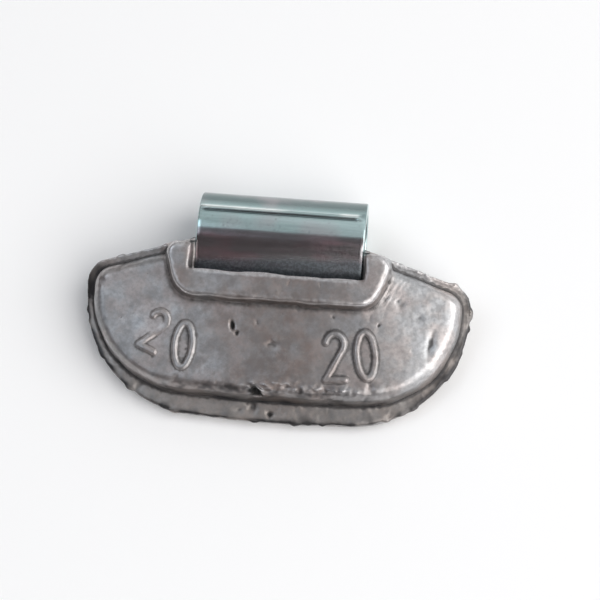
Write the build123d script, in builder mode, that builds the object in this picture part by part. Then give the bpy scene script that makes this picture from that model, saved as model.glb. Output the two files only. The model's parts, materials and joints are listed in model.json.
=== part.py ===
"""A clip-on wheel balance weight: a lead casting with a sprung steel clip cast into it.

The weight lies on its back, as it comes to rest on a bench: on the heel of the casting and on the
back of the clip. The casting has a plane of its own, in which u runs along the weight, v runs up its
face towards the clip, and w points out of its face. Lengths are in millimetres, angles in degrees.
"""

import os
from math import asin, atan2, cos, degrees, hypot, radians, sin, tan

from build123d import *

# Spring clip, bent from one strip of zinc-plated spring steel
strip_width = 15.0
strip_thickness = 1.0
hook_radius = 2.75  # inside of the hook, which takes the beaded edge of the rim
hook_rise = 5.9  # hook axis above the bows' middle, along v
hook_depth = 0.7  # hook axis in front of the back of the casting, along w
leg_lean = 18.0  # the leg leans forward as it leaves the casting
hook_end = 208.0  # turn of the hook from its foremost line to its lip
lip_radius = 2.0  # bend of the lip, on the side that faces the rim
lip_flare = 40.0  # turn of the lip, away from the rim
lip_corner = 1.2
tang_length = 4.8  # part of the leg that is cast in, along v
tang_corner = 1.5
anchor_diameter = 3.0  # holes in the tang, which the lead runs through
anchor_pitch = 7.5
anchor_inset = 2.6  # from the end of the tang to the middle of its holes

# Casting, outlined like a boat, with its keel away from the clip
body_length = 34.6
keel_depth = 10.8  # middle of the keel below the middle of the bows, the two round lower corners
keel_bow = 0.2  # the keel is slightly bowed, and reaches that much lower than the bows
tip_height = 2.1  # the two tips, above the bows' middle
tip_radius = 2.3
shoulder_height = 5.3  # upper end of the two sloping shoulders, which is behind the clip
rim_thickness = 1.4  # back half of the casting, which stands out round the face as a rim
rim_turn = -1.0  # where the front of the rim turns up towards the shoulders, along v
rim_bend = 5.0  # radius of that turn
rim_slope = 24.0  # from there it rises, to pass in front of the bead
rim_at_keel = 1.8
rim_at_tips = 0.65
rim_at_shoulders = 0.35
face_height = 4.32  # crest of the face above the back
face_crown = 0.5  # fall of the face from its crest to the tips
face_draft = 10.0
face_edge = 1.0

# Collar, the raised frame that holds the foot of the clip
collar_height = 1.15  # above the crest of the face
collar_foot = -0.65  # lower edge, along v
collar_top = 4.6  # upper end of its two arms, along v
arm_foot_width = 1.15  # of each arm, at the lower edge
arm_top_width = 2.8
arm_corner = 1.3  # outer corner of each arm's end
collar_corner = 2.6
collar_draft = 10.0
collar_edge = 0.45
clip_line = 2.05  # where the clip comes out of the collar, along v
pocket_gap = 0.3  # beside the clip
pocket_edge = 0.25
bead_clearance = 0.25  # between the bead of the rim and the casting

# The pocket in the collar takes the clip, and the two arms stand beside it
pocket_half = strip_width / 2 + pocket_gap
collar_foot_half = pocket_half + arm_foot_width
collar_top_half = pocket_half + arm_top_width

# How it lies: on the keel's back edge, and on the hook or the lip, whichever is further back
outer_radius = hook_radius + strip_thickness
lip_start = radians(90 - hook_end)
lip_end = lip_start + radians(lip_flare)
lip_back = lip_radius - strip_thickness
lip_v = hook_rise + (hook_radius + lip_radius) * cos(lip_start) - lip_back * cos(lip_end)
lip_w = hook_depth + (hook_radius + lip_radius) * sin(lip_start) - lip_back * sin(lip_end)
hook_reach = hook_rise + keel_depth
hook_tilt = asin(outer_radius / hypot(hook_reach, hook_depth)) - atan2(hook_depth, hook_reach)
lip_tilt = atan2(-lip_w, lip_v + keel_depth)
tilt = max(hook_tilt, lip_tilt)

# The origin is on the bench, under the middle of the box round the weight
keel_y = -keel_depth * cos(tilt) - rim_thickness * sin(tilt)
hook_y = hook_rise * cos(tilt) - hook_depth * sin(tilt) + outer_radius
casting = Plane(
    origin=(0, -(keel_y + hook_y) / 2, keel_depth * sin(tilt)),
    x_dir=(1, 0, 0),
    z_dir=(0, -sin(tilt), cos(tilt)),
)
upward = Axis(casting.origin, casting.y_dir)
outward = Axis(casting.origin, casting.z_dir)

# Across the weight, with v to the right and w up, and along it, with u to the right and w up
across = Plane(casting.origin, x_dir=casting.y_dir, z_dir=casting.x_dir)
along = Plane(casting.origin, x_dir=casting.x_dir, z_dir=-casting.y_dir)

# The leg is tangent to the hook, and runs down into the casting
lean = radians(leg_lean)
leg_v = hook_rise - hook_radius * sin(lean)
leg_w = hook_depth + hook_radius * cos(lean)
tang_v = clip_line - tang_length
tang_w = leg_w - (leg_v - tang_v) * tan(lean)
tang = Plane(
    across.from_local_coords((tang_v, tang_w, 0)),
    x_dir=casting.x_dir,
    z_dir=casting.rotated((leg_lean, 0, 0)).z_dir,
)
tang_edge = Axis(tang.origin, tang.z_dir)
lip_edge = Axis(across.origin, across.from_local_coords((cos(lip_end), sin(lip_end), 0)) - across.origin)


def boat(half_length, keel, lowered):
    """Returns the outline of the casting, with its tips and shoulders lowered by that much."""
    tip = tip_height - lowered
    shoulder = shoulder_height - lowered
    shoulder_u = strip_width / 2 - strip_thickness
    bow_radius = keel - keel_bow
    bow_u = half_length - bow_radius
    keel_radius = (bow_u**2 + keel**2 - bow_radius**2) / (2 * keel_bow)
    turn = degrees(asin(bow_u / (keel_radius - bow_radius)))
    with BuildSketch() as outline:
        with BuildLine():
            CenterArc((0, keel_radius - keel), keel_radius, -90, turn)
            bow = CenterArc((bow_u, 0), bow_radius, turn - 90, 90 - turn)
            corners = [bow @ 1, (half_length, tip), (shoulder_u, shoulder), (0, shoulder)]
            FilletPolyline(*corners, radius=tip_radius - lowered)
            mirror(about=Plane.YZ)
        make_face()
    return outline.sketch


# Spring clip: the leg with its tang, the hook, and the lip that leads it on to the rim
with BuildPart() as spring_clip:
    with BuildSketch(across):
        with BuildLine():
            hook = CenterArc((hook_rise, hook_depth), hook_radius, 90 + leg_lean, -leg_lean - hook_end)
            JernArc(hook @ 1, hook % 1, lip_radius, lip_flare)
            Line((tang_v, tang_w), hook @ 0)
            offset(amount=strip_thickness, side=Side.LEFT)
        make_face()
    extrude(amount=strip_width / 2, both=True)
    ends = spring_clip.edges().filter_by(GeomType.LINE)
    fillet(ends.filter_by(tang_edge).sort_by(upward)[:2], tang_corner)
    fillet(ends.filter_by(lip_edge).sort_by(outward)[:2], lip_corner)
    with BuildSketch(tang):
        with Locations((0, anchor_inset)):
            with GridLocations(anchor_pitch, 0, 2, 1):
                Circle(anchor_diameter / 2)
    extrude(amount=strip_thickness, mode=Mode.SUBTRACT)

# Back half of the casting, with the front of its rim level round the keel and rising to the shoulders
with BuildPart() as back_half:
    with BuildSketch(casting):
        add(boat(body_length / 2, keel_depth, 0))
    extrude(amount=face_height)
    with BuildSketch(across):
        with BuildLine():
            rim_top = rim_thickness + (hook_rise - rim_turn) * tan(radians(rim_slope))
            level = [(-keel_depth, rim_thickness), (rim_turn, rim_thickness), (hook_rise, rim_top)]
            rim_line = FilletPolyline(*level, radius=rim_bend)
            Polyline(rim_line @ 1, (hook_rise, 0), (-keel_depth, 0), rim_line @ 0)
        make_face()
    extrude(amount=body_length / 2, both=True, mode=Mode.INTERSECT)

# Front half, set in from the rim, with drafted walls, a crowned face and a rounded edge
with BuildPart() as front_half:
    with BuildSketch(casting.offset(rim_thickness)):
        add(boat(body_length / 2 - rim_at_tips, keel_depth - rim_at_keel, rim_at_shoulders))
    extrude(amount=face_height + face_crown - rim_thickness, taper=face_draft)
    with BuildSketch(along):
        with BuildLine():
            tips = face_height - face_crown
            crest = ThreePointArc((-body_length / 2, tips), (0, face_height), (body_length / 2, tips))
            above = face_height + 2 * face_crown
            Polyline(crest @ 1, (body_length / 2, above), (-body_length / 2, above), crest @ 0)
        make_face()
    extrude(amount=keel_depth, both=True, mode=Mode.SUBTRACT)
    fillet(front_half.faces().sort_by(outward)[-1].edges(), face_edge)

# Casting: the two halves, and the collar round the foot of the clip
with BuildPart() as cast_body:
    add(back_half.part)
    add(front_half.part)

    # Collar, from the back up past the face, where its walls are drafted
    with BuildSketch(casting.offset(face_height - face_crown)) as frame:
        with BuildLine():
            foot = Line((0, collar_foot), (collar_foot_half, collar_foot))
            arm = Line(foot @ 1, (collar_top_half, collar_top))
            Line(arm @ 1, (0, collar_top))
            mirror(about=Plane.YZ)
        make_face()
        fillet(frame.vertices().sort_by(Axis.Y)[-2:], arm_corner)
        fillet(frame.vertices().sort_by(Axis.Y)[:2], collar_corner)
    extrude(amount=face_crown - face_height)
    extrude(frame.sketch, amount=face_crown + collar_height, taper=collar_draft)
    fillet(cast_body.faces().sort_by(outward)[-1].edges(), collar_edge)

    # Pocket in front of the leg, open at the top
    with BuildSketch(across):
        with BuildLine():
            front = leg_w + strip_thickness / cos(lean)
            floor_low = (clip_line, front - (leg_v - clip_line) * tan(lean))
            floor_high = (hook_rise, front + (hook_rise - leg_v) * tan(lean))
            mouth = face_height + collar_height
            Polyline(floor_low, floor_high, (hook_rise, mouth), (clip_line, mouth), close=True)
        make_face()
    extrude(amount=pocket_half, both=True, mode=Mode.SUBTRACT)
    sills = cast_body.edges(Select.LAST).filter_by(Axis.X).group_by(outward)[-1]
    fillet(sills.sort_by(upward)[0], pocket_edge)

    # Room for the bead of the rim, which runs on past the clip, and for the clip itself
    with BuildSketch(across):
        with Locations((hook_rise, hook_depth)):
            Circle(hook_radius + bead_clearance)
        with Locations((hook_rise, hook_depth / 2)):
            Rectangle(2 * (hook_radius + bead_clearance), hook_depth)
    extrude(amount=body_length / 2, both=True, mode=Mode.SUBTRACT)
    add(spring_clip.part, mode=Mode.SUBTRACT)

os.makedirs("parts", exist_ok=True)
spring_clip.part.label = "spring_clip"
cast_body.part.label = "cast_body"
export_step(spring_clip.part, "parts/spring_clip.step")
export_step(cast_body.part, "parts/cast_body.step")
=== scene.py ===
"""Looks of the wheel balance weight: an as-cast lead body with raised numbers, and a plated spring clip.

Both pieces are shaped in the casting's own frame, in millimetres: u runs along the weight, v runs up its
face towards the clip, and w points out of its face. A pair of numbers that goes to step or fall is a range
over which something fades in or out, and a pair that goes to bell is a middle and a half width.
"""
import json
from itertools import product
from math import cos, pi, radians, sin, tan

import bmesh
import bpy
import numpy as np
from mathutils import Matrix, Vector


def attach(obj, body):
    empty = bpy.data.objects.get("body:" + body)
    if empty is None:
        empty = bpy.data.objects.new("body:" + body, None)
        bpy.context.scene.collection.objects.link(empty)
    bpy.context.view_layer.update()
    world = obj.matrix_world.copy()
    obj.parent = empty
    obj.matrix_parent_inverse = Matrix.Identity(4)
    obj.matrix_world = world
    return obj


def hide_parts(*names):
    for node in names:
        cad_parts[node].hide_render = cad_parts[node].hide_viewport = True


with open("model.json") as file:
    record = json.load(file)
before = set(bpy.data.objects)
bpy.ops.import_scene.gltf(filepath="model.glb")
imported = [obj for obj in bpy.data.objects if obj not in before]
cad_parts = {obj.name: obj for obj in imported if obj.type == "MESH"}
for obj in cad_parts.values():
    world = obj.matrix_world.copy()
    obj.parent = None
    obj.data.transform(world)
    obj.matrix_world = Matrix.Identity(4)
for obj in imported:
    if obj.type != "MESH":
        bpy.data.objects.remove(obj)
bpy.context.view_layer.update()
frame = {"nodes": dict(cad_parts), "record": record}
nodes = frame["nodes"]
scene = bpy.context.scene
MM = 0.001

# Sizes of the clip, as in the part's source, in mm and degrees
STRIP_WIDTH = 15.0
STRIP_THICKNESS = 1.0
HOOK_RADIUS = 2.75
HOOK_RISE = 5.9
HOOK_DEPTH = 0.7
HOOK_END = 208.0
LEG_LEAN = 18.0
LIP_RADIUS = 2.0
LIP_FLARE = 40.0
LIP_CORNER = 1.2
TANG_LENGTH = 4.8
TANG_CORNER = 1.5
ANCHOR_DIAMETER = 3.0
ANCHOR_PITCH = 7.5
ANCHOR_INSET = 2.6
CLIP_LINE = 2.05

# Sizes of the casting, as in the part's source
RIM_THICKNESS = 1.4
RIM_TURN = -1.0
RIM_SLOPE = tan(radians(24))
POCKET_HALF = 7.8

# The casting's frame, read from the record's mounts
mounts = {m["name"]: m for m in frame["record"]["mounts"]}
e_u = Vector((1, 0, 0))
e_w = -Vector(mounts["back_seat"]["axis"]).normalized()
e_v = e_w.cross(e_u)
origin = Vector(mounts["rim_hook"]["pos_m"]) - (HOOK_RISE * e_v + HOOK_DEPTH * e_w) * MM
axes = np.array([e_u, e_v, e_w])


def to_casting(points):
    """Turns points of the world, in m, into u, v and w."""
    return (points - np.array(origin)) @ axes.T / MM


def to_world(points):
    """Turns u, v and w into points of the world, in m."""
    return np.array(origin) + points @ axes * MM


# Tools for meshes
def rows_of(items, name, width, kind):
    """Returns one value of each item of a mesh, in rows of that width."""
    rows = np.empty(len(items) * width, kind)
    items.foreach_get(name, rows)
    return rows.reshape(-1, width)


def points_of(mesh):
    return rows_of(mesh.vertices, "co", 3, np.float32).astype(float)


def normals_of(mesh):
    return rows_of(mesh.vertex_normals, "vector", 3, np.float32).astype(float)


def pairs_of(mesh):
    """Returns the two points of each edge."""
    return rows_of(mesh.edges, "vertices", 2, np.int32)


def move_points(mesh, points):
    mesh.vertices.foreach_set("co", points.astype(np.float32).ravel())
    mesh.update()


def add_value(mesh, name, values):
    """Gives each point a value that a material reads."""
    attribute = mesh.attributes.new(name, "FLOAT", "POINT")
    attribute.data.foreach_set("value", values.astype(np.float32))


def mend(mesh, change):
    """Makes a change from bmesh.ops to the mesh."""
    bm = bmesh.new()
    bm.from_mesh(mesh)
    change(bm)
    bm.to_mesh(mesh)
    bm.free()


def new_object(name, data):
    obj = bpy.data.objects.new(name, data)
    scene.collection.objects.link(obj)
    return obj


def applied(obj):
    """Puts the object's modifiers into its mesh."""
    graph = bpy.context.evaluated_depsgraph_get()
    mesh = bpy.data.meshes.new_from_object(obj.evaluated_get(graph))
    obj.modifiers.clear()
    obj.data = mesh
    return mesh


def relaxed(points, pairs, rounds, share=0.5):
    """Moves each point towards the middle of its neighbours, that many times and by that share."""
    a, b = pairs.T
    total = len(points)
    count = np.maximum(np.bincount(a, minlength=total) + np.bincount(b, minlength=total), 1)
    points = points.copy()
    for _ in range(rounds):
        for axis in range(3):
            x = points[:, axis]
            mean = (np.bincount(a, x[b], total) + np.bincount(b, x[a], total)) / count
            points[:, axis] = x + share * (mean - x)
    return points


def sunk(points, pairs, normals, rounds):
    """Returns how far each point lies below its surroundings, which are as wide as the rounds make them."""
    return ((relaxed(points, pairs, rounds) - points) * normals).sum(1)


# Tools for patterns
NOISE_CELLS = 256
NOISE_START = 100
NOISE_GAIN = 1.7
FAR = 9.0  # further than anything that a distance is measured to


def noise(points, size, seed):
    """Smooth noise from about -1 to 1, with bumps about that wide."""
    rng = np.random.default_rng(seed)
    table = rng.permutation(NOISE_CELLS)
    slope = rng.normal(size=(NOISE_CELLS, 3))
    slope /= np.linalg.norm(slope, axis=1)[:, None]
    q = points / size + NOISE_START
    cell = np.floor(q).astype(int)
    f = q - cell
    fade = f * f * f * (f * (f * 6 - 15) + 10)
    total = np.zeros(len(q))
    for corner in product((0, 1), repeat=3):
        entry = 0
        for column in (cell + corner).T:
            entry = table[(entry + column) % NOISE_CELLS]
        share = np.where(corner, fade, 1 - fade).prod(1)
        total += share * ((f - corner) * slope[entry]).sum(1)
    return total * NOISE_GAIN


def layered(points, layers, start=0):
    """Adds layers of noise to a start. Each has its height, width and seed."""
    return sum((height * noise(points, width, seed) for height, width, seed in layers), start)


def wobble(points, height, width, seeds):
    """Noise in two directions."""
    return height * np.stack([noise(points, width, seed) for seed in seeds], 1)


def step(x, low, high):
    """Rises smoothly from 0 at low to 1 at high."""
    t = np.clip((x - low) / (high - low), 0, 1)
    return t * t * (3 - 2 * t)


def fall(x, low, high):
    """Falls smoothly from 1 at low to 0 at high."""
    return 1 - step(x, low, high)


def bell(x, middle, width):
    """Is 1 in the middle and fades on both sides of it."""
    return np.exp(-(((x - middle) / width) ** 2))


def share_of(x, full):
    """Returns x as a share of the full amount, from 0 to 1."""
    return np.clip(x / full, 0, 1)


def rotation(angle):
    """Returns the matrix that turns rows of u and v by that angle."""
    c = cos(radians(angle))
    s = sin(radians(angle))
    return np.array([[c, s], [-s, c]])


# Numbers, each one line in a box 2 wide and 4 high round its middle
def arc(u, v, radius_u, radius_v, start, turn, count):
    """Returns points on part of an ellipse."""
    a = np.radians(start + np.linspace(0, turn, count))
    return np.stack([u + radius_u * np.cos(a), v + radius_v * np.sin(a)], 1)


TWO = np.concatenate([arc(0, 1.1, 0.8, 0.9, 170, -205, 14), [(-0.85, -2), (0.9, -2)]])
ZERO = arc(0, 0, 0.8, 2.0, 90, 360, 40)
FIGURES = (
    # line, u and v of the middle, size, turn in degrees
    (TWO, -10.45, -3.6, 0.88, -22),
    (ZERO, -7.75, -4.73, 0.98, -2),
    (TWO, 5.70, -4.76, 1.02, 5),
    (ZERO, 8.40, -4.42, 1.02, 8),
)
FIGURE_REACH = (2.6, 3.2)  # further than any stroke from its number's middle


def stroke_distance(uv, line):
    """Returns the distance of each point from a line of points."""
    best = np.full(len(uv), FAR)
    for a, b in zip(line[:-1], line[1:]):
        d = b - a
        t = np.clip(((uv - a) @ d) / max(d @ d, 1e-9), 0, 1)
        best = np.minimum(best, np.linalg.norm(uv - a - t[:, None] * d, axis=1))
    return best


def figure_distance(uv):
    """Returns the distance of each point of the face from the nearest stroke of the numbers."""
    best = np.full(len(uv), FAR)
    for line, u, v, size, turn in FIGURES:
        near = np.nonzero((np.abs(uv - (u, v)) < FIGURE_REACH).all(1))[0]
        placed = np.array([u, v]) + size * line @ rotation(turn)
        best[near] = np.minimum(best[near], stroke_distance(uv[near], placed))
    return best


# Single pits and dents
MARKS = (
    # u and v of the middle, half width and height, turn in degrees, depth, darkness of painted shade
    (-3.59, -2.64, 0.17, 0.36, 15, 0.24, 0.9),
    (-3.13, -3.32, 0.19, 0.2, 0, 0.14, 0.5),
    (-1.0, -8.45, 0.45, 0.27, -55, 0.65, 1.8),
    (-1.6, -8.3, 0.2, 0.14, 0, 0.12, 0.5),
    (13.97, -2.94, 0.3, 1.0, -10, 0.13, 0.35),
    (-15.6, 0.6, 0.3, 0.5, 30, 0.08, 0.3),
    (-14.0, 2.0, 0.18, 0.5, -40, 0.07, 0.3),
    (12.86, -0.74, 0.4, 0.3, 20, 0.05, 0.35),
    (11.21, 0.28, 0.3, 0.45, -30, 0.05, 0.35),
    (9.3, -1.7, 0.16, 0.16, 0, 0.09, 0.4),
    (0.2, -10.1, 0.3, 0.25, 0, 0.15, 0.6),
)
SHADE_SPREAD = 1.25  # their painted shade reaches further than their depth


def marked(uv):
    """Returns the depth of the marks at each point of the casting, and the painted shade in them."""
    depth = np.zeros(len(uv))
    dark = np.zeros(len(uv))
    for u, v, half_u, half_v, turn, deepest, darkest in MARKS:
        off = (uv - (u, v)) @ rotation(-turn) / (half_u, half_v)
        depth += deepest * np.exp(-(off**2).sum(1))
        dark += darkest * np.exp(-((off / SHADE_SPREAD) ** 2).sum(1))
    return depth, dark


# Where the casting's surface lies: shares of its normal, and heights along w
FACING = (0.2, 0.6)
WALL_FACING = (0.55, 0.85)
FRONT_W = (2.0, 2.6)
FACE_FOOT_W = (3.3, 3.6)
FACE_TOP_W = (4.75, 4.95)
COLLAR_W = (4.5, 4.9)


def rim_front(v):
    """Returns the height of the rim's front, which is level round the keel and rises to the shoulders."""
    return RIM_THICKNESS + np.maximum(v - RIM_TURN, 0) * RIM_SLOPE


# Soft hollow at the foot of the collar
ROOT_ROUNDS = 24
ROOT_SHARE = 0.6
ROOT_LOW_W = 3.7
ROOT_HIGH_W = 5.2
ROOT_HALF_U = 11.2
ROOT_TOP_V = 4.3
ROOT_FACING = -0.1
ROOT_POCKET_U = 7.95
ROOT_POCKET_V = 2.2


def soft_root(mesh, p, pairs):
    """Lets the foot of the collar run into the face in a soft hollow, but not in the clip's pocket."""
    n = normals_of(mesh)
    for _ in range(ROOT_ROUNDS):
        u, v, w = p.T
        softer = relaxed(p, pairs, 1, ROOT_SHARE)
        hollow = ((softer - p) * n).sum(1) > 0
        near = (w > ROOT_LOW_W) & (w < ROOT_HIGH_W) & (np.abs(u) < ROOT_HALF_U) & (v < ROOT_TOP_V)
        in_pocket = (np.abs(u) < ROOT_POCKET_U) & (v > ROOT_POCKET_V)
        moves = hollow & near & (n[:, 2] > ROOT_FACING) & ~in_pocket
        p = np.where(moves[:, None], softer, p)
    return p


# Cast surface, in layers of noise. The back has half the grain.
LUMPS = ((0.035, 5.0, 1), (0.022, 2.1, 2))
GRAIN = ((0.010, 0.7, 3), (0.007, 0.34, 4))
RIM_GRAIN = ((0.02, 1.1, 25), (0.02, 0.5, 26))

# Raised numbers, lower on the left, where the 2 is worn in the middle. The two u count to the left.
FIGURE_HEIGHT = 0.17
FIGURE_LAYERS = ((0.07, 2.5, 8),)
FIGURE_WOBBLE = (0.03, 0.8, (5, 6))
STROKE = (0.15, 0.34)
STROKE_SHADE = (0.3, 0.55)
LEFT_LOWER = 0.06
LEFT_U = (8.5, 9.5)
WORN_SHARE = 0.7
WORN_U = (8.9, 9.3)
WORN_V = (-3.45, 0.85)

# Pits and blow holes, strewn over the casting
PITS = 110
PIT_SEED = 7
PIT_FIELD = ((-16.5, -10.4), (16.5, 4.0))
PIT_LEAST = 0.07
PIT_MORE = 0.3
PIT_DEPTH = (0.1, 0.35)
PIT_STRETCH = (1, 2.2)
PIT_WOBBLE = (0.12, 0.4, (15, 16))
MARK_FACING = (-0.1, 0.15)
MARK_W = (2.8, 3.3)
MARK_RIM_V = -9

# Scuffs along the lower edge of the face
SCUFF_HEIGHT = 0.075
SCUFF_WIDTH = 0.55
SCUFF_STRETCH = (1.0, 1.6, 1.0)
SCUFF_V = (-8.0, 0.75)
SCUFF_LEFT_U = (-3.5, -1.0)
SCUFF_RIGHT_U = (7.5, 9.5)

# Scrapes beside the collar's right arm, in one direction
SCRAPE_HEIGHT = 0.05
SCRAPE_U = 9.9
SCRAPE_V = 1.1
SCRAPE_RUN = (0.5, 0.85)
SCRAPE_HALF_WIDTH = 0.7
SCRAPE_HALF_LENGTH = 1.6
STREAK_WIDTH = 0.16
STREAK_LENGTH = 1.6

# Worn, slightly lumpy edges
EDGE_ROUNDS = 8
EDGE_STANDS_OUT = (0.006, 0.03)
EDGE_WEAR = 0.05
EDGE_WEAR_WIDTH = 1.3
EDGE_LUMP = 0.02
EDGE_LUMP_WIDTH = 0.45

# Ragged flash where the two halves of the mould met, along the front edge of the rim
FLASH_LINE = (-0.25, 0.28)
FLASH_BACK = 0.02
FLASH_FRONT = 0.08
FLASH_LAYERS = ((1.0, 2.2, 21), (0.5, 0.9, 22))
FLASH_START = 0.05
FLASH_MOST = 0.4
FLASH_ALL = 0.12
FLASH_PATCHES = 0.35
FLASH_TIP = 0.25
FLASH_TIP_U = (15.2, 16.4)
FLASH_TIP_V = (-2.6, -0.8)
PATCH_WIDTH = 4.5
PATCH_RANGE = (-0.25, 0.35)
NICK_DEPTH = 0.22
NICK_WIDTH = 1.6
NICK_START = 0.15
NICK_SPARED = 0.7
WALL_WAVE = 0.10
WALL_WAVE_WIDTH = 2.6


def relief(mesh, p, pairs):
    """Returns how far the cast surface moves off the plain one, and notes numbers, and marks with their
    painted shade, on the mesh.
    """
    n = normals_of(mesh)
    u, v, w = p.T
    uv = p[:, :2]
    flat = np.stack([u, v, w * 0], 1)
    facing = n[:, 2]
    front = step(facing, *FACING) * step(w, *FRONT_W)
    on_face = front * step(w, *FACE_FOOT_W) * fall(w, *FACE_TOP_W)
    outside = fall(-facing, *FACING)
    lift = layered(p, LUMPS)
    lift += layered(p, GRAIN) * (0.5 + 0.5 * outside)

    # Raised numbers
    to_stroke = figure_distance(uv + wobble(p, *FIGURE_WOBBLE))
    height = layered(p, FIGURE_LAYERS, FIGURE_HEIGHT) - LEFT_LOWER * step(-u, *LEFT_U)
    height *= 1 - WORN_SHARE * step(-u, *WORN_U) * bell(v, *WORN_V)
    lift += on_face * fall(to_stroke, *STROKE) * height
    add_value(mesh, "figure", on_face * fall(to_stroke, *STROKE_SHADE))

    # Pits and blow holes, and the single marks, which are half as crooked
    crooked = uv + wobble(p, *PIT_WOBBLE)
    rng = np.random.default_rng(PIT_SEED)
    for _ in range(PITS):
        spot = rng.uniform(*PIT_FIELD)
        radius = PIT_LEAST + PIT_MORE * rng.uniform() ** 3
        depth = radius * rng.uniform(*PIT_DEPTH)
        turned = (crooked - spot) @ np.linalg.qr(rng.normal(size=(2, 2)))[0]
        length = radius * rng.uniform(*PIT_STRETCH)
        lift -= outside * depth * np.exp(-((turned / (radius, length)) ** 2).sum(1))
    markable = step(facing, *MARK_FACING) * np.where(v > MARK_RIM_V, step(w, *MARK_W), 1)
    mark_depth, mark_shade = marked(crooked * 0.5 + uv * 0.5)
    lift -= markable * mark_depth
    # the marks' darkness is painted shade, down to black in the blow hole
    add_value(mesh, "pit_shade", markable * mark_shade)

    # Scuffs and scrapes
    scuff = bell(v, *SCUFF_V) * step(u, *SCUFF_LEFT_U) * fall(u, *SCUFF_RIGHT_U)
    lift += on_face * scuff * SCUFF_HEIGHT * noise(p * SCUFF_STRETCH, SCUFF_WIDTH, seed=11)
    run_u, run_v = SCRAPE_RUN
    across = (u - SCRAPE_U) * run_v - (v - SCRAPE_V) * run_u
    scrape = bell(across, 0, SCRAPE_HALF_WIDTH) * bell(v, SCRAPE_V, SCRAPE_HALF_LENGTH)
    streak_u = (u * run_v - v * run_u) / STREAK_WIDTH
    streak_v = (u * run_u + v * run_v) / STREAK_LENGTH
    lift += front * scrape * SCRAPE_HEIGHT * noise(np.stack([streak_u, streak_v, w * 0], 1), 1.0, seed=12)

    # Edges
    on_edge = step(-sunk(p, pairs, n, EDGE_ROUNDS), *EDGE_STANDS_OUT)
    worn = on_edge * EDGE_WEAR * np.maximum(noise(p, EDGE_WEAR_WIDTH, seed=13), 0)
    lift -= worn + on_edge * EDGE_LUMP * noise(p, EDGE_LUMP_WIDTH, seed=14)

    # Flash, nicks in it, and the wavy wall and grainy front of the rim
    rim_w = rim_front(v)
    wall = fall(np.abs(facing), *WALL_FACING)
    edge = wall * bell(w - rim_w, *FLASH_LINE)
    rim = fall(w, rim_w - FLASH_BACK, rim_w + FLASH_FRONT)
    ragged = np.clip(layered(flat, FLASH_LAYERS) - FLASH_START, 0, FLASH_MOST)
    tip = step(u, *FLASH_TIP_U) * step(v, *FLASH_TIP_V)
    patchy = step(noise(flat, PATCH_WIDTH, seed=27), *PATCH_RANGE)
    nicks = np.maximum(noise(flat, NICK_WIDTH, seed=23) - NICK_START, 0)
    lift += rim * edge * ragged * (FLASH_ALL + FLASH_PATCHES * patchy + FLASH_TIP * tip)
    lift -= rim * edge * NICK_DEPTH * (1 - NICK_SPARED * patchy) * nicks
    lift += (1 - rim) * wall * WALL_WAVE * noise(flat, WALL_WAVE_WIDTH, seed=24)
    lift += rim * (1 - wall) * outside * layered(p, RIM_GRAIN)
    return n * lift[:, None]


# Dirt, wear, and painted shade and light. Hollows are measured against near and wider surroundings.
FINE_ROUNDS = 5
BROAD_ROUNDS = 40
FINE_FULL = 0.02
BROAD_FULL = 0.10
RUBBED_FULL = 0.12
HOLLOW_FINE_SHARE = 0.45
RUBBED_FINE_SHARE = 0.4
RIM_FADE = 0.3
DOWNWARD = (0.1, 0.4)

# Shoulders of the rim, which have less soot and a paler tint
SHOULDER_V = (1.6, 2.6)
SHOULDER_W = 1.5
SHOULDER_CLEAN = 0.8
SHOULDER_SOOT = 0.75
SHOULDER_TINT = 0.8

# Painted shade in the pocket in front of the clip
POCKET_U = 8.0
POCKET_V = (1.5, 1.8)
POCKET_W = (5.0, 5.4)
POCKET_FACING = (0.3, 0.7)
POCKET_SHADE = 0.9

# Smudges along the lower edge of the face
SMUDGE_LAYERS = ((1.0, 1.2, 41), (0.5, 0.4, 43))
SMUDGE_START = 0.3
SMUDGE_V = (-8.2, 0.9)
SMUDGE_W = (1.8, 2.4)
SMUDGE_SOOT = 0.8

# Painted shadow line at the foot of the downward-facing wall under the face, which ends on the right
LINE_LAYERS = ((0.6, 1.4, 45),)
LINE_START = 0.7
LINE_LOW_W = (1.25, 1.45)
LINE_HIGH_W = (1.8, 2.6)
LINE_U = (9.0, 13.0)
STEP_SHADOW_SHARE = 0.75

# Soot on the rim: in blotches, more at both ends (the left u counts to the left), and along its edge
BLOTCH_LAYERS = ((0.6, 1.6, 42),)
BLOTCH_START = 0.08
RIGHT_END_SOOT = 0.3
RIGHT_END_U = (11.5, 15.0)
RIGHT_END_V = (0.2, 1.2)
LEFT_END_SOOT = 0.4
LEFT_END_U = (14.0, 16.0)
LEFT_END_V = (-4.0, -1.0)
RIM_EDGE_SOOT = 0.8
RIM_EDGE_WIDTH = 1.8
RIM_EDGE_RANGE = (-0.4, 0.2)

# Less rubbed: the rim, the wall under the face, the left of the collar's foot, and the pocket's edges
RIM_DULL = 0.8
SKIRT_DULL = 0.6
SKIRT_LOW_W = (1.8, 2.4)
SKIRT_HIGH_W = (3.9, 4.2)
SKIRT_U = (6.0, 11.0)
COLLAR_DULL = 0.55
COLLAR_FOOT_V = (-0.4, 0.2)
COLLAR_FOOT_U = (4.0, 8.0)
POCKET_EDGE_DULL = 0.6
POCKET_EDGE_HALF = 0.5
POCKET_EDGE_V = (1.4, 1.8)

# Brown oxide with painted shade in the middle and on the collar's left arm, and cleaner metal with painted
# light towards the upper right
BROWN_U = (0.5, 8.0)
BROWN_ON_RIM = 0.5
BROWN_ARM = 0.5
BROWN_ARM_U = (-9.3, 1.6)
CLEAN_SLANT = 0.5
CLEAN_RANGE = (6.0, 13.0)
CLEAN_RIM_V = (0.2, 1.2)
CLEAN_COLLAR = 0.6


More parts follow.
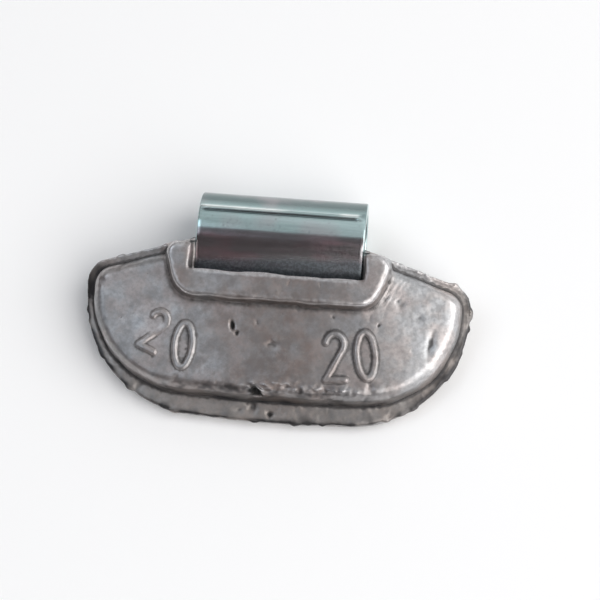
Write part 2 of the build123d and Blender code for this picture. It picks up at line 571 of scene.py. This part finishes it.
def weather(mesh):
    """Notes on the mesh where dirt has gathered, where shade and light are painted, and where edges are
    rubbed bright.
    """
    pairs = pairs_of(mesh)
    q = points_of(mesh) / MM
    n = normals_of(mesh)
    fine = sunk(q, pairs, n, FINE_ROUNDS)
    broad = sunk(q, pairs, n, BROAD_ROUNDS)
    p = to_casting(q * MM)
    u, v, w = p.T
    upward = n @ axes[1]
    downward = step(-upward, *DOWNWARD)
    rim = fall(w, rim_front(v), rim_front(v) + RIM_FADE)
    collar = step(w, *COLLAR_W)
    shoulder = step(v, *SHOULDER_V) * (w > SHOULDER_W)

    # Soot, and painted shade in the pocket and along the step under the face
    # painted shade on the upward-facing sill of the pocket
    pocket = (np.abs(u) < POCKET_U) * step(v, *POCKET_V) * fall(w, *POCKET_W) * step(upward, *POCKET_FACING)
    smudge = bell(v, *SMUDGE_V) * np.clip(layered(p, SMUDGE_LAYERS, SMUDGE_START), 0, 1) * step(w, *SMUDGE_W)
    # painted shadow line where the wall under the face meets the rim
    step_shadow = downward * step(w, *LINE_LOW_W) * fall(w, *LINE_HIGH_W) * fall(u, *LINE_U)
    broken = np.clip(layered(p, LINE_LAYERS, LINE_START), 0, 1)
    ends = RIGHT_END_SOOT * step(u, *RIGHT_END_U) * fall(v, *RIGHT_END_V)
    ends += LEFT_END_SOOT * step(-u, *LEFT_END_U) * step(v, *LEFT_END_V)
    edged = share_of(-broad, BROAD_FULL) * step(noise(p, RIM_EDGE_WIDTH, seed=44), *RIM_EDGE_RANGE)
    on_rim = np.clip(layered(p, BLOTCH_LAYERS, BLOTCH_START + ends), 0, 1) + RIM_EDGE_SOOT * edged
    soot_and_shade = POCKET_SHADE * pocket + SMUDGE_SOOT * smudge + STEP_SHADOW_SHARE * step_shadow * broken
    soot_and_shade += rim * on_rim * (1 - SHOULDER_SOOT * shoulder)
    add_value(mesh, "soot_and_shade", np.clip(soot_and_shade, 0, 1))

    # Hollows, which the material darkens with painted shade and dark oxide, and rubbed edges
    hollow = share_of(fine, FINE_FULL) * HOLLOW_FINE_SHARE
    hollow += share_of(broad, BROAD_FULL) * (1 - HOLLOW_FINE_SHARE)
    add_value(mesh, "hollow", hollow)
    skirt = step(w, *SKIRT_LOW_W) * fall(w, *SKIRT_HIGH_W) * downward * fall(u, *SKIRT_U)
    collar_foot = collar * fall(v, *COLLAR_FOOT_V) * fall(u, *COLLAR_FOOT_U)
    pocket_edge = (np.abs(np.abs(u) - POCKET_HALF) < POCKET_EDGE_HALF) * step(v, *POCKET_EDGE_V)
    rubbed = share_of(-fine, FINE_FULL) * RUBBED_FINE_SHARE
    rubbed += share_of(-broad, RUBBED_FULL) * (1 - RUBBED_FINE_SHARE)
    rubbed *= (1 - RIM_DULL * rim) * (1 - SKIRT_DULL * skirt)
    rubbed *= (1 - COLLAR_DULL * collar_foot) * (1 - POCKET_EDGE_DULL * pocket_edge)
    add_value(mesh, "rubbed", rubbed)

    # Tints
    arm = BROWN_ARM * bell(u, *BROWN_ARM_U) * collar
    # painted shade with brown oxide in the middle of the face and on the collar's left arm
    brown_and_shade = bell(u, *BROWN_U) * (1 - BROWN_ON_RIM * rim) + arm
    # painted light with cleaner metal towards the upper right, and paler shoulders
    clean_and_lit = np.maximum(SHOULDER_CLEAN * shoulder * rim, step(u + CLEAN_SLANT * v, *CLEAN_RANGE))
    clean_and_lit *= (1 - rim * fall(v, *CLEAN_RIM_V)) * (1 - CLEAN_COLLAR * collar)
    add_value(mesh, "rim", rim * step(n @ axes[2], *FACING) * (1 - SHOULDER_TINT * shoulder))
    add_value(mesh, "brown_and_shade", np.clip(brown_and_shade, 0, 1))
    add_value(mesh, "clean_and_lit", clean_and_lit)


# Lead casting: the CAD solid in fine quads, with its relief, and then in fewer triangles
VOXEL = 0.11
WELD = 1e-4
CORNER_ROUNDS = 3
LOWEST = 0.00001  # in m, just above the bench
LEAD_TRIANGLES = 185000
lead_mesh = nodes["cast_body"].data.copy()
move_points(lead_mesh, to_casting(points_of(lead_mesh)))
mend(lead_mesh, lambda bm: bmesh.ops.remove_doubles(bm, verts=bm.verts, dist=WELD))
lead = new_object("lead_casting", lead_mesh)
remesh = lead.modifiers.new("remesh", "REMESH")
remesh.mode = "VOXEL"
remesh.voxel_size = VOXEL
lead_mesh = applied(lead)
lead_pairs = pairs_of(lead_mesh)
lead_points = relaxed(points_of(lead_mesh), lead_pairs, CORNER_ROUNDS)
move_points(lead_mesh, lead_points)
lead_points = soft_root(lead_mesh, lead_points, lead_pairs)
move_points(lead_mesh, lead_points)
lead_points = to_world(lead_points + relief(lead_mesh, lead_points, lead_pairs))
lead_points[:, 2] = np.maximum(lead_points[:, 2], LOWEST)
move_points(lead_mesh, lead_points / MM)
fewer = lead.modifiers.new("fewer", "DECIMATE")
fewer.ratio = min(1.0, LEAD_TRIANGLES / (2 * len(lead_mesh.polygons)))
lead_mesh = applied(lead)
lead_mesh.name = "lead_casting"
move_points(lead_mesh, points_of(lead_mesh) * MM)
weather(lead_mesh)
lead_mesh.shade_smooth()

# Spring clip: one strip, swept along the leg, the hook and the lip
EDGE_RADIUS = 0.13
ACROSS = np.linspace(-1, 1, 61)
QUARTER = np.linspace(0, pi / 2, 5)
END_STEPS = (0, 0.015, 0.05, 0.12)
LEG_STEP = 0.25
LEG_STOP = 0.1  # short of the hook, in mm
TURN_STEP = 1.5
LIP_STOP = 3.6  # short of the lip's end, in degrees
UNEVEN = 0.012
UNEVEN_WIDTH = 4.0
UNEVEN_AXES = np.array([0, 0.7, 0.7])

# Fine crease across the hook: a groove with a ridge above it, short of the strip's sides
CREASE = 26.5  # its angle round the hook
CREASE_SPAN = 5
CREASE_STEP = 0.4
CREASE_LEFT_U = (-7.6, -6.9)
CREASE_RIGHT_U = (6.6, 7.0)
GROOVE_DEPTH = 0.10
GROOVE = (0.0, 0.14)
RIDGE_HEIGHT = 0.06
RIDGE = (0.36, 0.2)

lean = radians(LEG_LEAN)
leg_v = HOOK_RISE - HOOK_RADIUS * sin(lean)
leg_w = HOOK_DEPTH + HOOK_RADIUS * cos(lean)
leg_length = (leg_v - CLIP_LINE + TANG_LENGTH) / cos(lean)
lip_turn = radians(90 - HOOK_END)
lip_v = HOOK_RISE + (HOOK_RADIUS + LIP_RADIUS) * cos(lip_turn)
lip_w = HOOK_DEPTH + (HOOK_RADIUS + LIP_RADIUS) * sin(lip_turn)


def strip_path():
    """Returns stations along the strip's inner face, from tang to lip.

    Each has its v and w, its outward normal, its distance from the tang's end and its angle round the hook.
    """
    path = []
    for run in np.concatenate([END_STEPS, np.arange(LEG_STEP, leg_length - LEG_STOP, LEG_STEP)]):
        left = leg_length - run
        at = (leg_v - left * cos(lean), leg_w - left * sin(lean))
        path.append((*at, -sin(lean), cos(lean), run, -LEG_LEAN - left))
    hook_turns = np.arange(-LEG_LEAN, HOOK_END, TURN_STEP)
    crease_turns = np.arange(CREASE - CREASE_SPAN, CREASE + CREASE_SPAN, CREASE_STEP)
    for turn in np.unique(np.round(np.concatenate([hook_turns, crease_turns]), 3)):
        t = radians(90 - turn)
        at = (HOOK_RISE + HOOK_RADIUS * cos(t), HOOK_DEPTH + HOOK_RADIUS * sin(t))
        run = leg_length + radians(turn + LEG_LEAN) * HOOK_RADIUS
        path.append((*at, cos(t), sin(t), run, turn))
    hook_run = leg_length + radians(HOOK_END + LEG_LEAN) * HOOK_RADIUS
    lip_turns = np.arange(0, LIP_FLARE - LIP_STOP, TURN_STEP)
    last_turns = LIP_FLARE - np.degrees(np.array(END_STEPS[::-1]) / LIP_RADIUS)
    for turn in np.concatenate([lip_turns, last_turns]):
        t = lip_turn + radians(turn)
        at = (lip_v - LIP_RADIUS * cos(t), lip_w - LIP_RADIUS * sin(t))
        path.append((*at, cos(t), sin(t), hook_run + radians(turn) * LIP_RADIUS, HOOK_END + turn))
    return np.array(path)


def strip_section(half):
    """Returns the outline across the strip, with round edges: u, and height as a share of the thickness."""
    r = EDGE_RADIUS
    inner = half - r
    outline = [(inner * t, 1.0) for t in ACROSS]
    outline += [(inner + r * sin(a), 1.0 - r * (1 - cos(a))) for a in QUARTER[1:]]
    outline += [(inner + r * cos(a), r * (1 - sin(a))) for a in QUARTER]
    outline += [(inner * t, 0.0) for t in ACROSS[::-1]][1:]
    outline += [(-inner - r * sin(a), r * (1 - cos(a))) for a in QUARTER[1:]]
    outline += [(-inner - r * cos(a), 1.0 - r * (1 - sin(a))) for a in QUARTER[:-1]]
    return np.array(outline)


def rounded(depth, radius):
    """Returns how far a rounded corner stands back, at that depth from the end."""
    d = np.clip(radius - depth, 0, radius)
    return radius - np.sqrt(np.maximum(radius**2 - d**2, 0))


def crease_reach(u):
    """Is 1 along the crease, and 0 beyond its ends."""
    return step(u, *CREASE_LEFT_U) * fall(u, *CREASE_RIGHT_U)


def strip_mesh():
    """Returns the strip as a closed mesh, with rounded ends and its crease."""
    path = strip_path()
    run = path[:, 4]
    from_end = np.minimum(run, run[-1] - run)
    corner = np.where(run < run[-1] / 2, TANG_CORNER, LIP_CORNER)
    half_width = STRIP_WIDTH / 2 - rounded(from_end, corner)
    thinned = rounded(from_end, EDGE_RADIUS)
    rings = []
    for (v, w, out_v, out_w, _, turn), half, thin in zip(path, half_width, thinned):
        u, high = strip_section(half).T
        depth = (0.5 + (high - 0.5) * (1 - 2 * thin)) * STRIP_THICKNESS
        outer = np.clip((high - 0.5) * 2, 0, 1)
        off = radians(turn - CREASE) * (HOOK_RADIUS + STRIP_THICKNESS)
        crease = -GROOVE_DEPTH * bell(off, *GROOVE) + RIDGE_HEIGHT * bell(off, *RIDGE)
        depth = depth + outer * crease_reach(u) * crease
        rings.append(np.stack([u, v + out_v * depth, w + out_w * depth], 1))
    size = len(rings[0])
    last = len(rings) - 1
    faces = []
    for i in range(last):
        for j in range(size):
            k = (j + 1) % size
            faces.append((i * size + j, i * size + k, (i + 1) * size + k, (i + 1) * size + j))
    faces.append(tuple(range(size))[::-1])
    faces.append(tuple(range(last * size, (last + 1) * size)))
    points = np.concatenate(rings)
    points += UNEVEN * noise(points, UNEVEN_WIDTH, seed=31)[:, None] * UNEVEN_AXES
    mesh = bpy.data.meshes.new("zinc_clip")
    mesh.from_pydata(points.tolist(), [], faces)
    mend(mesh, lambda bm: bmesh.ops.recalc_face_normals(bm, faces=bm.faces))
    return mesh


# Values that the plating reads: height over the casting, painted shade in the crease, a painted glint on the
# ridge, and angle round the hook
FOOT_SLANT = 0.045  # the painted shade at the foot climbs to the right
GROOVE_SHADE = (-0.2, 2.7)
RIDGE_SHADE = (6.2, 2.8)
GLINT_LEAST = 0.2
GLINT_LEFT_U = (-1.0, 1.0)
GLINT_RIGHT_U = (4.8, 5.6)
LEG_MARGIN_V = 0.05
LEG_MARGIN_W = 0.2
LEG_TURN = 12  # degrees for each mm down the leg, as if the hook went on
SIDE_DEPTH = 0.05
SIDE_TURN = 180.0  # the strip's cut sides look as the back of the hook does


def mark_clip(mesh, points):
    """Notes those values on the mesh."""
    u, v, w = points.T
    turn = np.degrees(np.arctan2(v - HOOK_RISE, w - HOOK_DEPTH))
    turn = np.where(turn < -90, turn + 360, turn)  # it runs on past 180 degrees, to the lip
    on_leg = (v < leg_v + LEG_MARGIN_V) & (w > HOOK_DEPTH - LEG_MARGIN_W)
    outer = np.hypot(v - HOOK_RISE, w - HOOK_DEPTH) > HOOK_RADIUS + STRIP_THICKNESS / 2
    creased = outer * crease_reach(u) * ~on_leg
    # painted glint along the ridge, bright on the left half and at the right end
    glint = GLINT_LEAST + (1 - GLINT_LEAST) * (fall(u, *GLINT_LEFT_U) + step(u, *GLINT_RIGHT_U))
    bend = np.where(on_leg, -LEG_LEAN - (leg_v - v) * LEG_TURN, turn)
    on_side = np.abs(u) > STRIP_WIDTH / 2 - SIDE_DEPTH
    add_value(mesh, "foot", np.where(on_leg, v - CLIP_LINE - FOOT_SLANT * u, FAR))
    add_value(mesh, "groove", creased * bell(turn - CREASE, *GROOVE_SHADE))
    add_value(mesh, "ridge", creased * glint * bell(turn - CREASE, *RIDGE_SHADE))
    add_value(mesh, "bend", np.where(on_side, SIDE_TURN, bend))


# The anchor holes in its tang are drilled, and the lead runs through them
DRILL_FACETS = 64
DRILL_LENGTH = 4
clip = new_object("zinc_clip", strip_mesh())
tang_v = CLIP_LINE - TANG_LENGTH
tang_w = leg_w - (leg_v - tang_v) * tan(lean)
hole_v = tang_v + ANCHOR_INSET * cos(lean)
hole_w = tang_w + ANCHOR_INSET * sin(lean)
for hole_u in (-ANCHOR_PITCH / 2, ANCHOR_PITCH / 2):
    hole_radius = ANCHOR_DIAMETER / 2
    bpy.ops.mesh.primitive_cylinder_add(vertices=DRILL_FACETS, radius=hole_radius, depth=DRILL_LENGTH)
    drill = bpy.context.object
    drill.matrix_world = Matrix.Translation((hole_u, hole_v, hole_w)) @ Matrix.Rotation(lean, 4, "X")
    bpy.context.view_layer.update()
    cut = clip.modifiers.new("hole", "BOOLEAN")
    cut.object = drill
    cut.operation = "DIFFERENCE"
    clip_mesh = applied(clip)
    bpy.data.objects.remove(drill)
clip_points = points_of(clip_mesh)
mark_clip(clip_mesh, clip_points)
move_points(clip_mesh, to_world(clip_points))
clip_mesh.name = "zinc_clip"
clip_mesh.shade_smooth()


# Materials
class Nodes:
    """Adds shader nodes to a material or a world, and links them."""

    def __init__(self, owner):
        owner.use_nodes = True
        self.owner = owner
        self.tree = owner.node_tree
        self.shader = self.tree.nodes.get("Principled BSDF")

    def put(self, kind, inputs=None, **settings):
        node = self.tree.nodes.new(kind)
        for key, value in settings.items():
            setattr(node, key, value)
        for key, value in (inputs or {}).items():
            self.feed(node.inputs[key], value)
        return node

    def feed(self, socket, value):
        if isinstance(value, bpy.types.NodeSocket):
            self.tree.links.new(value, socket)
        else:
            socket.default_value = value

    def place(self, kind="Object"):
        return self.put("ShaderNodeTexCoord").outputs[kind]

    def value(self, name):
        return self.put("ShaderNodeAttribute", attribute_name=name).outputs["Fac"]

    def math(self, operation, a, b):
        return self.put("ShaderNodeMath", {0: a, 1: b}, operation=operation).outputs[0]

    def plus(self, a, b):
        return self.math("ADD", a, b)

    def times(self, a, b):
        return self.math("MULTIPLY", a, b)

    def vector(self, operation, a, b=(0.0, 0.0, 0.0)):
        return self.put("ShaderNodeVectorMath", {0: a, 1: b}, operation=operation).outputs["Value"]

    def ramp(self, value, low, high, bottom=0.0, top=1.0):
        """Goes smoothly from bottom, where the value is low, to top, where it is high."""
        ends = {"Value": value, "From Min": low, "From Max": high, "To Min": bottom, "To Max": top}
        return self.put("ShaderNodeMapRange", ends, interpolation_type="SMOOTHSTEP").outputs[0]

    def mix(self, share, a, b, kind="MIX"):
        """Puts that share of colour b over colour a."""
        node = self.put("ShaderNodeMix", data_type="RGBA", blend_type=kind)
        self.feed(node.inputs[0], share)
        self.feed(node.inputs[6], a)
        self.feed(node.inputs[7], b)
        return node.outputs[2]

    def noise(self, place, scale, detail, rough, stretch=None):
        """Noise with that many bumps to the metre."""
        if stretch:
            place = self.put("ShaderNodeMapping", {"Vector": place, "Scale": stretch}).outputs[0]
        inputs = {"Vector": place, "Scale": scale, "Detail": detail, "Roughness": rough}
        return self.put("ShaderNodeTexNoise", inputs).outputs[0]

    def seen(self):
        """Is 1 for the rays that show the background: to the camera, and by way of metal and glass."""
        rays = self.put("ShaderNodeLightPath").outputs
        mirrored = self.math("MAXIMUM", rays["Is Glossy Ray"], rays["Is Transmission Ray"])
        return self.math("MAXIMUM", rays["Is Camera Ray"], mirrored)

    def metal(self, base, rough, bumps, metallic, strength, distance):
        """Feeds the shader, with bumps of that distance in metres, and returns the material."""
        bump = self.put("ShaderNodeBump", {"Strength": strength, "Distance": distance, "Height": bumps})
        self.feed(self.shader.inputs["Base Color"], base)
        self.feed(self.shader.inputs["Roughness"], rough)
        self.feed(self.shader.inputs["Normal"], bump.outputs[0])
        self.shader.inputs["Metallic"].default_value = metallic
        return self.owner


def color(r, g, b):
    return (r, g, b, 1.0)


WHITE = color(1.0, 1.0, 1.0)

# Colours of the lead, with its oxide, its dirt, its rubbed edges, and its painted shade and light
LEAD_DULL = color(0.33, 0.32, 0.32)
LEAD_PALE = color(0.47, 0.465, 0.47)
LEAD_SMEAR = color(0.20, 0.195, 0.195)
LEAD_CLOUD = color(0.36, 0.335, 0.325)
LEAD_BROWN_AND_SHADE = color(0.188, 0.156, 0.143)
LEAD_CLEAN_AND_LIT = color(0.67, 0.655, 0.65)
LEAD_WARM = color(1.0, 0.90, 0.87)
LEAD_COOL = color(0.90, 0.955, 1.0)
LEAD_RIM = color(0.28, 0.25, 0.225)
LEAD_RUBBED = color(0.66, 0.65, 0.66)
LEAD_HOLLOW_OXIDE_AND_SHADE = color(0.07, 0.066, 0.066)
LEAD_GRAIN = color(0.19, 0.185, 0.185)
LEAD_SOOT_AND_SHADE = color(0.04, 0.04, 0.043)
LEAD_PIT_SHADE = color(0.012, 0.012, 0.012)

# Colours of the zinc plate: browner on the leg with a tint and a painted reflection, darker on top of the
# hook with a painted reflection, with painted shade at its foot and in the crease and a painted glint on the
# ridge
ZINC_DARK = color(0.43, 0.575, 0.58)
ZINC_PALE = color(0.56, 0.705, 0.71)
ZINC_LEG_TINT_AND_REFLECTION = color(0.37, 0.31, 0.325)
ZINC_BEND_REFLECTION = color(0.13, 0.125, 0.13)
ZINC_TOP_REFLECTION = color(0.118, 0.156, 0.156)
ZINC_CLOUD = color(0.58, 0.47, 0.51)
ZINC_STAIN = color(0.62, 0.40, 0.44)
ZINC_GROOVE_SHADE = color(0.10, 0.135, 0.14)
ZINC_RIDGE_GLINT = color(0.93, 0.98, 0.97)
ZINC_SPECK = color(0.25, 0.28, 0.30)
FOOT_SHADE_DARK = color(0.125, 0.145, 0.165)
FOOT_SHADE_PALE = color(0.215, 0.255, 0.28)


def cast_lead():
    """As-cast lead: dull oxide in blotches, brighter where it is rubbed, dark in its hollows with oxide and
    painted shade, with painted shade in its pits, its pocket and along its step, darker in the middle with
    brown oxide and painted shade, and lighter to the upper right with painted light.
    """
    k = Nodes(bpy.data.materials.new("cast_lead"))
    place = k.place()
    blotch = k.noise(place, scale=260.0, detail=4.0, rough=0.6)
    cloud = k.noise(place, scale=90.0, detail=3.0, rough=0.5)
    grain = k.noise(place, scale=2600.0, detail=3.0, rough=0.6)
    smear = k.noise(place, scale=700.0, detail=4.0, rough=0.65)
    warm = k.noise(place, scale=420.0, detail=3.0, rough=0.55)
    hollow = k.value("hollow")
    rubbed = k.times(k.value("rubbed"), k.ramp(k.value("figure"), 0.0, 1.0, 1.0, 0.35))
    brown_and_shade = k.times(k.value("brown_and_shade"), k.ramp(smear, 0.32, 0.68, 0.55, 0.9))
    clean_and_lit = k.times(k.value("clean_and_lit"), k.ramp(smear, 0.35, 0.65, 0.85, 0.6))

    base = k.mix(k.ramp(blotch, 0.35, 0.68), LEAD_DULL, LEAD_PALE)
    base = k.mix(k.ramp(smear, 0.42, 0.70, 0.0, 0.6), base, LEAD_SMEAR)
    base = k.mix(k.ramp(cloud, 0.40, 0.7, 0.0, 0.4), base, LEAD_CLOUD)
    # painted shade with brown oxide, darker in the middle
    base = k.mix(brown_and_shade, base, LEAD_BROWN_AND_SHADE)
    # painted light with cleaner metal, lighter towards the upper right and on the shoulders
    base = k.mix(clean_and_lit, base, LEAD_CLEAN_AND_LIT)
    base = k.mix(k.ramp(warm, 0.42, 0.66, 0.0, 0.65), base, LEAD_WARM, "MULTIPLY")
    base = k.mix(k.ramp(warm, 0.34, 0.56, 0.65, 0.0), base, LEAD_COOL, "MULTIPLY")
    base = k.mix(k.times(k.value("rim"), 0.6), base, LEAD_RIM)
    base = k.mix(k.ramp(rubbed, 0.15, 0.8, 0.0, 0.7), base, LEAD_RUBBED)
    # painted shade in the hollows, together with dark oxide
    base = k.mix(k.ramp(hollow, 0.15, 0.85, 0.0, 0.88), base, LEAD_HOLLOW_OXIDE_AND_SHADE)
    base = k.mix(k.ramp(grain, 0.40, 0.65, 0.0, 0.33), base, LEAD_GRAIN)
    # soot on the rim and the face, painted shade in the pocket, and a painted shadow along the step
    base = k.mix(k.ramp(k.value("soot_and_shade"), 0.0, 1.0, 0.0, 0.92), base, LEAD_SOOT_AND_SHADE)
    # painted shade in pits, dents and the blow hole
    base = k.mix(k.ramp(k.value("pit_shade"), 0.0, 0.75, 0.0, 0.97), base, LEAD_PIT_SHADE)

    rough = k.ramp(blotch, 0.3, 0.7, 0.43, 0.33)
    rough = k.plus(rough, k.ramp(rubbed, 0.2, 0.9, 0.0, -0.10))
    rough = k.plus(rough, k.ramp(hollow, 0.1, 0.8, 0.0, 0.25))
    bumps = k.plus(k.times(grain, 0.6), k.times(blotch, 0.4))
    return k.metal(base, rough, bumps, metallic=0.8, strength=0.22, distance=0.00006)


def plated_steel():
    """Bright zinc plate with a blue-green passivation, streaked along the hook's axis, with speckled painted
    shade at its foot, painted reflections on the leg and the hook, painted shade in the crease and a painted
    glint on its ridge.
    """
    k = Nodes(bpy.data.materials.new("plated_steel"))
    place = k.place()
    streaks = k.noise(place, scale=900.0, detail=4.0, rough=0.65, stretch=(0.06, 1.0, 1.0))
    speck = k.noise(place, scale=3800.0, detail=2.0, rough=0.7)
    cloud = k.noise(place, scale=220.0, detail=2.0, rough=0.5)
    stain = k.noise(place, scale=330.0, detail=3.0, rough=0.6, stretch=(0.35, 1.0, 1.0))
    glint_breakup = k.noise(place, scale=160.0, detail=2.0, rough=0.5, stretch=(1.0, 0.0, 0.0))
    bend = k.value("bend")
    bend_reflection = k.times(k.ramp(bend, -16.0, -5.0), k.ramp(bend, -2.0, 2.0, 1.0, 0.0))
    top = k.times(k.ramp(bend, 28.0, 50.0), k.ramp(bend, 100.0, 140.0, 1.0, 0.0))
    stained = k.times(k.ramp(stain, 0.45, 0.65, 0.0, 0.6), k.ramp(bend, -10.0, -2.0, 1.0, 0.0))
    ridge = k.times(k.value("ridge"), k.ramp(glint_breakup, 0.4, 0.55, 0.65, 1.0))
    shade_height = k.plus(k.value("foot"), k.ramp(cloud, 0.3, 0.7, -0.1, 0.1))
    foot_shade = k.ramp(shade_height, 1.1, 1.95, 0.85, 0.0)
    foot_shade_tone = k.mix(k.ramp(speck, 0.4, 0.65), FOOT_SHADE_DARK, FOOT_SHADE_PALE)

    base = k.mix(k.ramp(streaks, 0.3, 0.7), ZINC_DARK, ZINC_PALE)
    # browner leg: a passivation tint with a painted reflection
    base = k.mix(k.ramp(bend, -3.0, 2.0, 0.7, 0.0), base, ZINC_LEG_TINT_AND_REFLECTION)
    # painted dark reflection band across the leg just below the bend
    base = k.mix(k.times(bend_reflection, 0.35), base, ZINC_BEND_REFLECTION)
    # painted reflection, darker on top of the hook
    base = k.mix(k.times(top, 0.85), base, ZINC_TOP_REFLECTION)
    base = k.mix(k.ramp(cloud, 0.45, 0.72, 0.0, 0.4), base, ZINC_CLOUD)
    base = k.mix(stained, base, ZINC_STAIN)
    # painted shade in the crease's groove
    base = k.mix(k.times(k.value("groove"), 0.8), base, ZINC_GROOVE_SHADE)
    # painted glint on the ridge above the crease
    base = k.mix(ridge, base, ZINC_RIDGE_GLINT)
    base = k.mix(k.ramp(speck, 0.60, 0.72, 0.0, 0.4), base, ZINC_SPECK)
    # speckled painted shade at the leg's foot, beside the collar
    base = k.mix(foot_shade, base, foot_shade_tone)

    rough = k.plus(k.ramp(streaks, 0.25, 0.75, 0.13, 0.22), k.times(foot_shade, 0.15))
    bumps = k.plus(streaks, speck)
    return k.metal(base, rough, bumps, metallic=1.0, strength=0.25, distance=0.00002)


for obj, material, node, slot in (
    (lead, cast_lead(), "cast_body", "cast_lead"),
    (clip, plated_steel(), "spring_clip", "plated_steel"),
):
    obj.data.materials.clear()
    obj.data.materials.append(material)
    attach(obj, "root")
    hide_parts(node)

# Camera, at the photograph's viewing angle
FIELD = 52.93  # width of the picture at the object, in mm
PIXELS = 600
LENS = 100.0
SENSOR = 36
PITCH = 7.0
YAW = -4.0
ROLL = 4.3
AIM_V = -1.6  # a point on the face
AIM_W = 4.2
AIM_RIGHT = 26.5  # from that point to the middle of the picture, in pixels
AIM_UP = 16.5
back = (e_w - tan(radians(PITCH)) * e_v - tan(radians(YAW)) * e_u).normalized()
level = (e_u - e_u.dot(back) * back).normalized()
rise = back.cross(level)
right = cos(radians(ROLL)) * level + sin(radians(ROLL)) * rise
up = back.cross(right)
aim = origin + (AIM_V * e_v + AIM_W * e_w + (AIM_RIGHT * right + AIM_UP * up) * FIELD / PIXELS) * MM
stand = aim + back * FIELD / 2 / (SENSOR / 2 / LENS) * MM
camera_data = bpy.data.cameras.new("camera")
camera_data.lens = LENS
camera_data.sensor_width = SENSOR
camera_data.clip_start = 0.005
camera_data.clip_end = 20
camera = bpy.data.objects.new("camera", camera_data)
camera.matrix_world = Matrix.Translation(stand) @ Matrix((right, up, back)).transposed().to_4x4()
scene.collection.objects.link(camera)
scene.camera = camera
scene.view_settings.view_transform = "Standard"

# Pale floor, which turns white away from the object
FLOOR_SIZE = 8
FLOOR_PALE = color(0.96, 0.96, 0.96)
FLOOR_FADE = (0.12, 0.45)
bpy.ops.mesh.primitive_plane_add(size=FLOOR_SIZE)
floor = bpy.context.object
floor.name = "floor"
floor_nodes = Nodes(bpy.data.materials.new("floor"))
floor_nodes.shader.inputs["Base Color"].default_value = FLOOR_PALE
floor_nodes.shader.inputs["Roughness"].default_value = 0.9
away = floor_nodes.vector("LENGTH", floor_nodes.place())
far = floor_nodes.times(floor_nodes.seen(), floor_nodes.ramp(away, *FLOOR_FADE))
white = floor_nodes.put("ShaderNodeEmission", {"Color": WHITE, "Strength": 1.0}).outputs[0]
blend = floor_nodes.put("ShaderNodeMixShader", {0: far, 1: floor_nodes.shader.outputs[0], 2: white})
floor_nodes.feed(floor_nodes.tree.nodes["Material Output"].inputs["Surface"], blend.outputs[0])
floor.data.materials.append(floor_nodes.owner)

# Soft studio light: a dim room, lighter on the right and at the back, with a white horizon
ROOM_SIDE = (0.6, 0.45, 0.0)
ROOM_RANGE = (-0.2, 0.55)
ROOM_DIM = color(0.080, 0.064, 0.066)
ROOM_LIGHT = color(0.56, 0.57, 0.58)
HORIZON = (0.2, 0.32)
room = Nodes(bpy.data.worlds.new("studio"))
scene.world = room.owner
direction = room.place("Generated")
sideways = room.vector("DOT_PRODUCT", direction, ROOM_SIDE)
walls = room.mix(room.ramp(sideways, *ROOM_RANGE), ROOM_DIM, ROOM_LIGHT)
above = room.put("ShaderNodeSeparateXYZ", {"Vector": direction}).outputs["Z"]
low = room.times(room.seen(), room.ramp(above, *HORIZON, 1.0, 0.0))
background = room.tree.nodes["Background"]
room.feed(background.inputs["Color"], room.mix(low, walls, WHITE))
background.inputs["Strength"].default_value = 1.0

# Rectangular lamps that face the object. Their width runs level.
SOFTBOXES = (
    # name, middle, width and height in m, radiance, colour
    ("back_box", (0.0, 0.25, 0.48), 0.9, 0.54, 0.30, (0.97, 1.0, 1.0)),
    ("right_box", (0.34, -0.13, 0.41), 0.74, 0.54, 2.6, (1.0, 0.985, 0.97)),
    ("left_box", (-0.22, 0.0, 0.46), 0.34, 0.26, 1.45, (0.80, 0.90, 1.0)),
)
for name, middle, width, height, radiance, tint in SOFTBOXES:
    light = bpy.data.lights.new(name, "AREA")
    light.shape = "RECTANGLE"
    light.size = width
    light.size_y = height
    light.energy = radiance * pi * width * height
    light.color = tint
    lamp = new_object(name, light)
    lamp.location = middle
    lamp.rotation_euler = (-Vector(middle)).to_track_quat("-Z", "Y").to_euler()
